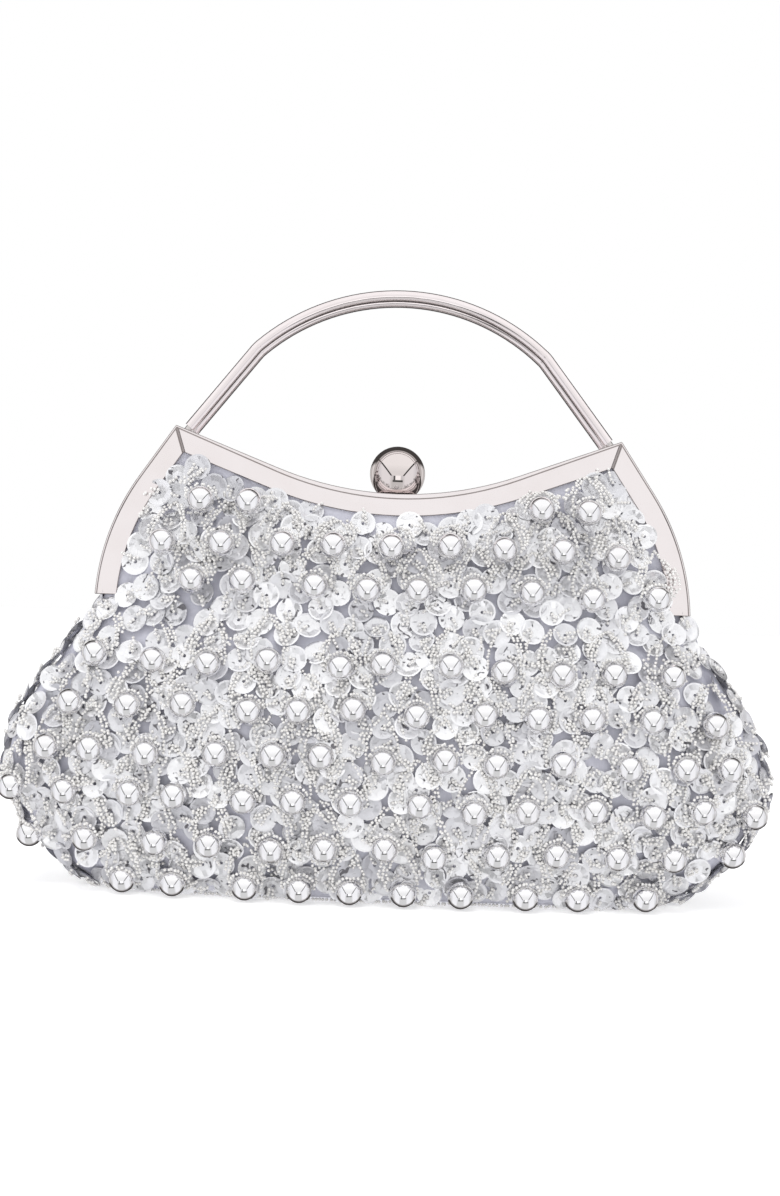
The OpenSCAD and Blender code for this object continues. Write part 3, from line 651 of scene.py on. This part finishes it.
def sow(face, apart, tries, seed, keep):
    """Random places on a face, none closer than apart."""
    rng = np.random.default_rng(seed)
    cells = rng.choice(len(face.areas), size=tries, p=face.areas)
    shares_in = rng.random((tries, 2))
    taken, found = {}, []
    for cell, (a, b) in zip(cells, shares_in):
        point, out = face.at(int(cell), a, b)
        if not keep(point):
            continue
        box = (point / apart).astype(int)
        near = (q for step in neighbours for q in taken.get(tuple(box + step), ()))
        if any(((point - q) ** 2).sum() < apart * apart for q in near):
            continue
        taken.setdefault(tuple(box), []).append(point)
        found.append((point, out))
    return found


def clear_of_frame(point):
    """True where a sequin has room beside the metal, and above the base."""
    x, z = abs(point[0]), point[2]
    if z < frame_foot:
        return z >= sequin_foot
    return x < outer_edge(min(z, top_z)) - arm_room and z < bar_edge(x) - bar_room


sown = {side: sow(faces[side], 6.3 * mm, 30000, 5 + k, clear_of_frame) for k, side in enumerate(faces)}
print("sequins", {side: len(found) for side, found in sown.items()})

# %% [markdown]
# ## Many copies of one shape
# An object for each of ten thousand beads would stop any program.
# So one small shape is made by operators, its copies are laid into a single mesh, and every copy's points
# are moved to their place at once. What would reach below the floor is lifted onto it.

# %% Copies of a small shape
floor_gap = 0.1 * mm


def scatter(name, shape, places, tints, material, smooth):
    """One piece from copies of a small shape. Each place is its origin, right, up and out, already sized."""
    bm = bmesh.new()
    for _ in places:
        bm.from_mesh(shape)
    mesh = mesh_from(name, bm)
    points = np.array([v.co for v in shape.vertices])
    frames = np.array(places)
    moved = frames[:, 0][:, None] + np.einsum("pk,nkc->npc", points, frames[:, 1:])
    moved[..., 2] += np.maximum(0, floor_gap - moved[..., 2].min(axis=1))[:, None]
    mesh.vertices.foreach_set("co", moved.ravel())
    mesh.update()
    of_points = np.repeat(np.array(tints, np.float32), len(points))
    mesh.attributes.new("tint", "FLOAT", "POINT").data.foreach_set("value", of_points)
    print(len(places), "copies:", end=" ")
    return piece_from(name, mesh, material, smooth)


def upright(out):
    """Right and up on the face, for the direction that looks out of it."""
    up = np.array([0.0, 0.0, 1.0]) - out * out[2]
    if np.linalg.norm(up) < 0.2:
        up = np.array([0.0, out[2], -out[1]])
    up = unit(up)
    return np.cross(up, out), up


def tilted(right, up, out, spin, lean_right, lean_up):
    """The three directions, spun about out and leant a little."""
    turned = right * math.cos(spin) + up * math.sin(spin)
    level = unit(out + lean_right * right + lean_up * up)
    turned = unit(turned - level * (turned @ level))
    return turned, np.cross(level, turned), level


# %% [markdown]
# ## Sequins
# A cup sequin is a thin disc with a hole, six flat facets pressed into a shallow cup, and a narrow flat
# brim. A ring of edges extruded outwards three times gives it in 54 faces, light enough to repeat a
# thousand times. Each lies a little above the satin, leaning its own way, so that neighbours overlap.

# %% Shape of a sequin
sequin_r, hole_r, sequin_sides = 4.75 * mm, 0.55 * mm, 18
sixth = math.pi / 3
# Radius, height and whether the ring is six-sided: the cup's flat middle, its brim's inner and outer edge
sequin_rings = ((2.3 * mm, 0.05 * mm, True), (sequin_r * 0.86, 0.72 * mm, False), (sequin_r, 0.8 * mm, False))


def sequin_shape():
    """A cup sequin with six pressed facets and a hole, opening outwards."""
    bm = bmesh.new()
    bmesh.ops.create_circle(bm, cap_ends=False, segments=sequin_sides, radius=hole_r)
    rim = list(bm.edges)
    for reach, rise, six in sequin_rings:
        grown = bmesh.ops.extrude_edge_only(bm, edges=rim)["geom"]
        rim = [g for g in grown if isinstance(g, bmesh.types.BMEdge)]
        for v in (g for g in grown if isinstance(g, bmesh.types.BMVert)):
            turn = math.atan2(v.co.y, v.co.x)
            part = (turn + sixth / 2) % sixth - sixth / 2
            length = reach * (math.cos(sixth / 2) / math.cos(part) * 1.04 if six else 1)
            v.co = Vector((length * math.cos(turn), length * math.sin(turn), rise))
    bm.normal_update()
    if sum(f.normal.z for f in bm.faces) < 0:
        bmesh.ops.reverse_faces(bm, faces=bm.faces)
    return mesh_from("sequin", bm)


# %% Sequins
cup = sequin_shape()
pieces, sewn_sequins = {}, {}
for k, side in enumerate(sown):
    rng = random.Random(31 + k)
    places, tints = [], []
    sewn_sequins[side] = []
    for point, out in sown[side]:
        right, up = upright(out)
        lift = rng.uniform(0.5, 1.7) * mm
        spin = rng.uniform(0, 2 * math.pi)
        turned, level_up, level = tilted(right, up, out, spin, rng.gauss(0, 0.13), rng.gauss(0.06, 0.13))
        size = rng.uniform(0.95, 1.05)
        origin = point + out * lift
        places.append([origin, turned * size, level_up * size, level * size])
        tints.append(min(1.0, abs(rng.gauss(0, 0.42))))
        sewn_sequins[side].append((origin, right, up, level))
    pieces[f"sequins_{side}"] = scatter(f"sequins_{side}", cup, places, tints, sequin_foil, False)

# %% [markdown]
# ## Seed beads
# The sewer's thread tells where seed beads go. A short bridge of them crosses each sequin and holds it by
# its hole. Up to three strands run down on each side of a metal bead and hold it in a loop, often with a
# hood over it, and one line edges the base. So the beads are strung on drawn curves, evenly spaced, and
# then shaken a little out of line as thread slackens.

# %% Strands of seed beads
seed_r, pitch, shake = 0.66 * mm, 1.3 * mm, 0.2 * mm
bridge_lengths, bridge_apart, bridge_rise = (3.9, 5.2, 6.5), 1.25 * mm, 1.7 * mm
loop_heights, bar_gap, anchor_out, strand_apart = (13.5, 17.5), 9.5 * mm, 1.6 * mm, 1.35 * mm
hem_out, hem_lift = 0.8 * mm, np.array([0, 0, 0.5 * mm])


def strand(points):
    """Places at even spacing along a line of points."""
    points = np.array(points)
    steps = np.linalg.norm(np.diff(points, axis=0), axis=1)
    run = np.concatenate([[0], np.cumsum(steps)])
    wanted = np.arange(pitch / 2, run[-1], pitch)
    return np.stack([np.interp(wanted, run, points[:, k]) for k in range(3)], axis=1)


def bow(a, b, c, n=14):
    """A smooth bend from a to c, drawn towards b."""
    t = np.linspace(0, 1, n)[:, None]
    return (1 - t) ** 2 * a + 2 * t * (1 - t) * b + t * t * c


def bridges_over(origin, right, up, level, rng):
    """One or two short strands that cross a sequin from its hole."""
    turn = rng.uniform(0, 2 * math.pi)
    strands = []
    for n in range(rng.choice((1, 2, 2))):
        way = right * math.cos(turn) + up * math.sin(turn)
        aside = (right * math.sin(turn) - up * math.cos(turn)) * bridge_apart * n
        reach = rng.choice(bridge_lengths) * mm
        start = origin + level * 0.6 * mm + aside - way * n * 0.6 * mm
        top = start + way * reach / 2 + level * bridge_rise
        strands.append(strand(bow(start, top, start + way * reach + level * 0.5 * mm, 8)))
        turn += rng.gauss(0, 0.25)
    return strands


def loop_round(centre, face, rng):
    """The strands that hold a metal bead on a face, and its hood."""
    foot, _, _, gap = face.tree.find_nearest(centre)
    c = np.array(centre)
    out = unit(c - np.array(foot))
    right, up = upright(out)
    room_above = bar_edge(min(abs(c[0]), corner_x)) - bar_gap - c[2]
    top = max(min(rng.uniform(*loop_heights) * mm, room_above), bead_r + 2 * mm)
    high = face.tree.find_nearest(Vector(c + up * top - out * gap))[0]
    drift = right * rng.gauss(0, 0.9 * mm)
    anchor = np.array(high) + out * anchor_out + drift
    strands = []
    for hand in (-1, 1):
        if rng.random() < 0.03:
            continue
        low = c + right * hand * (bead_r + 0.5 * mm) - up * rng.uniform(-0.5, 1.5) * mm - out * 1.5 * mm
        belly = right * hand * (bead_r + rng.uniform(1.2, 2.6) * mm)
        pull = c + belly + up * top * 0.45 - out * 0.8 * mm + drift
        strands.append(strand(bow(anchor, pull, low)))
        for n, chance in ((1, 0.9), (2, 0.6)):
            if rng.random() < chance:
                step = right * hand * strand_apart * n
                more = strand(bow(anchor + step, pull + step, low + step + up * 2 * mm * n))
                strands.append(more[int(rng.uniform(0, 4 * n)) : len(more) - int(rng.uniform(0, 5))])
    if rng.random() < 0.7:
        turns = np.linspace(0.25, math.pi - 0.25, 12)
        hood_r = bead_r + 0.4 * mm
        hood = [c + (right * math.cos(a) + up * math.sin(a)) * hood_r + out * 0.2 * mm for a in turns]
        strands.append(strand(hood))
    return strands


# %% Places of the seed beads
seed_places = {}
for k, side in enumerate(sewn_sequins):
    rng = random.Random(47 + k)
    bridges = [line for sequin in sewn_sequins[side] for line in bridges_over(*sequin, rng)]
    bridges.append(strand(grids[side][base_rows] + faces[side].out[base_rows] * hem_out + hem_lift))
    seed_places[f"seed_beads_{side}"] = np.concatenate([line for line in bridges if len(line)])
    centres = [c for name, (bead_side, _) in bead_nodes.items() if bead_side == side for c in beads[name]]
    loops = [line for centre in centres for line in loop_round(centre, faces[side], rng)]
    seed_places[f"seed_clusters_{side}"] = np.concatenate([line for line in loops if len(line)])

# %% Seed bead pieces
bm = bmesh.new()
bmesh.ops.create_icosphere(bm, subdivisions=1, radius=seed_r)
seed_bead = mesh_from("seed_bead", bm)
for k, name in enumerate(seed_places):
    rng = np.random.default_rng(61 + k)
    count = len(seed_places[name])
    turns = unit(rng.normal(size=(count, 3)))
    others = unit(np.cross(turns, rng.normal(size=(count, 3))))
    places = np.stack([seed_places[name], turns, others, np.cross(turns, others)], axis=1)
    places[:, 0] += rng.normal(scale=shake, size=(count, 3))
    tints = np.clip(np.abs(rng.normal(0, 0.45, count)), 0, 1)
    pieces[name] = scatter(name, seed_bead, places, tints, crystal, True)

# %% [markdown]
# ## Metal beads
# The round beads are plain polished balls, and what makes them read as metal is a clean reflection. The
# packed balls are faceted, so each is made again as a round ball in the same place.

# %% Metal beads
for name, (_, body) in bead_nodes.items():
    bm = bmesh.new()
    for centre in beads[name]:
        at_centre = Matrix.Translation(centre)
        bmesh.ops.create_icosphere(bm, subdivisions=2, radius=bead_r * 1.02, matrix=at_centre)
    piece = piece_from(f"metal_{name}", mesh_from(name, bm), bead_metal)
    rounded(piece)
    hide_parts(name)
    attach(piece, body)

# %% [markdown]
# ## Lining and pocket
# The lining is a second bag sewn inside the first, slack against the padding. The same grid, moved
# inwards, follows the satin everywhere, and its own folds keep it from looking like a copy. The pocket is
# a flat patch, a little slack at its mouth, laid on the rear lining where straight lines meet it.

# %% Lining
lining_in, lining_foot = 4.2 * mm, 5.6 * mm
for side in grids:
    face = faces[side]
    inner = face.grid - face.out * lining_in
    inner[..., 2] = np.maximum(inner[..., 2], lining_foot)
    inner[..., 1] = np.sign(face.grid[..., 1]) * np.abs(inner[..., 1])
    inner[base_rows:-1, 1:-1] = puckers(inner, 71 + len(side), 0.7 * mm)[base_rows:-1, 1:-1]
    outwards = 1 if side == "front" else -1
    piece = grid_piece(f"lining_{side}", inner[base_rows::2, ::2], lining_cloth, outwards)
    rounded(piece)
    pieces[piece.name] = piece

# %% Pocket
pocket_low, pocket_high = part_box("lining_pocket")
pocket_columns, pocket_rows = 24, 14
lining_tree = BVHTree.FromObject(pieces["lining_rear"], bpy.context.evaluated_depsgraph_get())
grid = np.zeros((pocket_rows + 1, pocket_columns + 1, 3))
for j, i in product(range(pocket_rows + 1), range(pocket_columns + 1)):
    x = pocket_low[0] + (pocket_high[0] - pocket_low[0]) * i / pocket_columns
    z = pocket_low[2] + (pocket_high[2] - pocket_low[2]) * j / pocket_rows
    found = lining_tree.ray_cast(Vector((x, 0, z)), Vector((0, 1, 0)))[0]
    slack = 0.9 * mm + 1.6 * mm * (j / pocket_rows) ** 2 * math.sin(math.pi * i / pocket_columns)
    grid[j, i] = (x, (found.y if found else pocket_high[1]) - slack, z)
pocket = grid_piece("lining_pocket_sewn", grid, lining_cloth, -1)
doubled = pocket.modifiers.new("thickness", "SOLIDIFY")
doubled.thickness, doubled.offset = 0.5 * mm, 0
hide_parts("lining_pocket")
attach(pocket, "pouch")

# %% [markdown]
# ## Frame and handles
# The real frame is folded from sheet, so its edges are small bends that catch a thin dark line. The packed
# part has the right shape but knife-sharp edges. A merged copy, its sharp edges broken by a small bevel,
# keeps the shape, and the bevels by the front face get a dark metal that paints that dark line in: a painted
# reflection.

# %% Frame halves and handles
def smooth_copy(node, material, body, edge, round_to):
    """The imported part, merged, its sharp edges broken by a small bevel."""
    bm = bmesh.new()
    bm.from_mesh(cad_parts[node].data)
    bmesh.ops.remove_doubles(bm, verts=bm.verts, dist=2e-6)
    bmesh.ops.dissolve_limit(bm, angle_limit=math.radians(0.6), verts=bm.verts, edges=bm.edges)
    bmesh.ops.recalc_face_normals(bm, faces=bm.faces)
    if edge > 0:
        sharp = [e for e in bm.edges if len(e.link_faces) == 2 and e.calc_face_angle(0) > math.radians(28)]
        broken = bmesh.ops.bevel(
            bm,
            geom=sharp,
            offset=edge,
            offset_type="OFFSET",
            segments=2,
            profile=0.5,
            affect="EDGES",
            clamp_overlap=False,
            material=-1,
        )
        for f in broken["faces"]:
            # The bevels by the front face take the dark second metal: a painted dark reflection line.
            f.material_index = int(abs(f.calc_center_median().y) > -face_back - 0.4 * mm)
    bmesh.ops.triangulate(bm, faces=[f for f in bm.faces if len(f.verts) > 4])
    for e in bm.edges:
        e.smooth = len(e.link_faces) == 2 and e.calc_face_angle(0) < math.radians(round_to)
    piece = piece_from(f"{node}_polished", mesh_from(node, bm), material)
    piece.data.materials.append(painted_dark_edge_metal)
    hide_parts(node)
    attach(piece, body)


for half in ("front", "rear"):
    smooth_copy(f"{half}_frame", frame_metal, f"{half}_half", 0.26 * mm, 12)
    smooth_copy(f"{half}_handle", handle_metal, f"{half}_half", 0.0, 40)

# %% [markdown]
# ## Small parts and the ball
# Studs, nuts, rivets, keeper, bracket, pin, lever, spring, board and gimp already have their shape in the
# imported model, so they only get their finish. The ball is the brightest thing on the bag, and its
# reflection shows every facet, so it is made again as a smooth ball.

# %% Small parts
finishes = {
    fixing_metal: [
        "front_handle_studs",
        "front_handle_nuts",
        "rear_handle_studs",
        "rear_handle_nuts",
        "clasp_keeper",
        "keeper_rivets",
        "hinge_rivets",
        "clasp_bracket",
        "bracket_rivets",
        "clasp_pin",
        "clasp_lever",
    ],
    spring_metal: ["clasp_spring"],
    board_card: ["base_board"],
    gimp_cloth: ["front_gimp", "rear_gimp"],
}
for material, names in finishes.items():
    for name in names:
        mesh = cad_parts[name].data
        mesh.materials.clear()
        mesh.materials.append(material)

# %% Ball
ball_low, ball_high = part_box("clasp_ball")
ball_r = (ball_high[0] - ball_low[0]) / 2
at_clasp = Matrix.Translation((0, (ball_low[1] + ball_high[1]) / 2, ball_high[2] - ball_r))
bm = bmesh.new()
bmesh.ops.create_uvsphere(bm, u_segments=64, v_segments=32, radius=ball_r, matrix=at_clasp)
ball = piece_from("clasp_ball_polished", mesh_from("clasp_ball", bm), ball_metal)
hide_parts("clasp_ball")
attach(ball, "clasp")

# %% [markdown]
# ## Satin, lining and what is sewn on
# When the frame opens, the cloth below it stays and the cloth in its channel goes with it, so on the real bag
# what lies between has to bend. Here the satin is rounded, the packed satin, padding, panels and linings are
# hidden, and the satin, its sequins and seed beads and the lining are fixed in place in the world.

# %% Rounding, hiding and fixing in place
for side, skin in skins.items():
    rounded(skin)
    lining = pieces[f"lining_{side}"]
    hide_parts("satin_shell", "padding", f"{side}_panel")
    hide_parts("lining", f"{side}_panel_lining")
    sewn_on = [pieces[f"{kind}_{side}"] for kind in ("sequins", "seed_beads", "seed_clusters")]
    for piece in (skin, lining, *sewn_on):
        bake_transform(piece)

# %% [markdown]
# ## Studio
# Polished metal shows the room more than itself, so the room is part of the finish. The floor and what the
# camera sees are plain and white. What the metal mirrors is drawn as on a mirror ball: a fan of soft light
# overhead between two dark arms, a small bright window with a dark sill, pale walls, and dark arcs above
# and below that outline every round edge. Soft even light falls on the cloth.

# %% Floor
floor_paint, nodes_of, shader = new_material("floor_paint")
floor_look = {"Base Color": (0.90, 0.90, 0.90, 1.0), "Roughness": 0.7, "Specular IOR Level": 0.1}
floor_look |= {"Emission Color": WHITE, "Emission Strength": 0.42}
for key, value in floor_look.items():
    shader.inputs[key].default_value = value
unseen = put(nodes_of, "BsdfTransparent")
ray = put(nodes_of, "LightPath").outputs
paint = put(nodes_of, "MixShader", {0: ray["Is Glossy Ray"], 1: shader.outputs[0], 2: unseen.outputs[0]})
nodes_of.links.new(paint.outputs[0], nodes_of.nodes["Material Output"].inputs[0])
bm = bmesh.new()
bmesh.ops.create_circle(bm, cap_ends=True, segments=48, radius=6.0)
floor = piece_from("floor", mesh_from("floor", bm), floor_paint)

# %% Places in the room, as a mirror ball shows them
world = bpy.data.worlds.new("room")
bpy.context.scene.world = world
world.use_nodes = True
room = world.node_tree
room.nodes.clear()
way = put(room, "SeparateXYZ", {0: put(room, "TexCoord").outputs["Generated"]}).outputs
twice = calc(room, "MULTIPLY", calc(room, "SUBTRACT", 1.0, way[1]), 2.0)
reach = calc(room, "MAXIMUM", calc(room, "SQRT", twice), 0.02)
across = calc(room, "DIVIDE", way[0], reach)
high = calc(room, "DIVIDE", way[2], reach)
aside = calc(room, "ABSOLUTE", across)
outward = calc(room, "SQRT", calc(room, "MULTIPLY_ADD", way[1], 0.5, 0.5))


def inside(value, low, high, soft=0.01):
    """1 where value is from low to high, with soft ends."""
    a = stretch(room, value, low - soft, low + soft)
    b = stretch(room, value, high - soft, high + soft, 1.0, 0.0)
    return calc(room, "MULTIPLY", a, b)


def both(a, b):
    return calc(room, "MULTIPLY", a, b)


def grey(value, warmth=0.0):
    return (value * (1 + warmth), value, value * (1 - 0.3 * warmth), 1.0)


# %% Fan, window, rings and arcs
fan_side = calc(room, "SUBTRACT", aside, calc(room, "MULTIPLY_ADD", high, 0.74, 0.26))
above = stretch(room, high, -0.11, -0.08)
fan = both(both(stretch(room, fan_side, 0.006, -0.006), above), stretch(room, outward, 0.785, 0.775))
arms = both(both(inside(fan_side, 0.0, 0.06, 0.008), above), stretch(room, outward, 0.86, 0.84))
in_front = stretch(room, way[1], -0.2, -0.3)
window = both(both(inside(across, -0.07, 0.12), inside(high, -0.25, -0.09)), in_front)
window_sill = both(both(inside(across, -0.17, 0.20), inside(high, -0.32, -0.25)), in_front)
window_side = both(both(inside(across, -0.14, -0.07), inside(high, -0.32, -0.10)), in_front)
ring = stretch(room, outward, 0.79, 0.80)
ring_light = both(ring, inside(outward, 0.875, 0.92, 0.012))
ring_line = inside(outward, 0.778, 0.796, 0.005)
top_arc = both(stretch(room, outward, 0.82, 0.845), stretch(room, high, 0.32, 0.46))
foot_arc = both(stretch(room, outward, 0.82, 0.85), stretch(room, high, -0.32, -0.46))
fan_light = blend_colours(room, stretch(room, high, 0.05, 0.3), grey(0.96), grey(1.12))
wall = blend_colours(room, stretch(room, high, -0.30, 0.0), grey(0.72), (0.86, 0.86, 0.89, 1.0))
layers = (
    (inside(aside, 0.24, 0.60, 0.05), (1.0, 1.0, 1.02, 1.0)),
    (ring, grey(0.62, 0.03)),
    (ring_light, grey(0.95)),
    (fan, fan_light),
    (arms, grey(0.05)),
    (ring_line, grey(0.30, 0.05)),
    (window_sill, grey(0.07)),
    (window_side, grey(0.12)),
    (window, grey(1.3)),
    (top_arc, grey(0.065, 0.08)),
    (foot_arc, grey(0.08, 0.08)),
)
for mask, light in layers:
    wall = blend_colours(room, mask, wall, light)

# %% What each kind of ray sees
seen = put(room, "Background", {0: WHITE, 1: 1.0})
mirrored = put(room, "Background", {0: wall, 1: 1.0})
soft = put(room, "Background", {0: (0.98, 0.98, 1.0, 1.0), 1: 0.80})
ray = put(room, "LightPath").outputs
lit = put(room, "MixShader", {0: ray["Is Diffuse Ray"], 1: mirrored.outputs[0], 2: soft.outputs[0]})
choice = put(room, "MixShader", {0: ray["Is Camera Ray"], 1: lit.outputs[0], 2: seen.outputs[0]})
room.links.new(choice.outputs[0], room.nodes.new("ShaderNodeOutputWorld").inputs[0])

# %% Lamps
lamp_aim = Vector((0, 0, 0.08))


def lamp(name, place, size, power):
    """A soft square lamp aimed at the bag, which the metal doesn't mirror."""
    data = bpy.data.lights.new(name, "AREA")
    data.size, data.energy = size, power
    made = bpy.data.objects.new(name, data)
    made.location = place
    made.rotation_euler = (lamp_aim - Vector(place)).to_track_quat("-Z", "Y").to_euler()
    made.visible_glossy = False
    bpy.context.scene.collection.objects.link(made)


lamp("soft_overhead", (-0.15, -0.45, 1.1), 0.5, 4.0)
lamp("soft_left", (-1.0, -0.7, 0.5), 0.5, 1.5)

# %% Camera
camera_data = bpy.data.cameras.new("camera")
camera_data.lens, camera_data.sensor_width = 43.9, 36.0
camera = bpy.data.objects.new("camera", camera_data)
camera.location = (-0.001, -0.53, 0.107)
camera.rotation_euler = (math.radians(90), math.radians(-2.2), 0)
bpy.context.scene.collection.objects.link(camera)
bpy.context.scene.camera = camera
bpy.context.scene.view_settings.view_transform = "Standard"
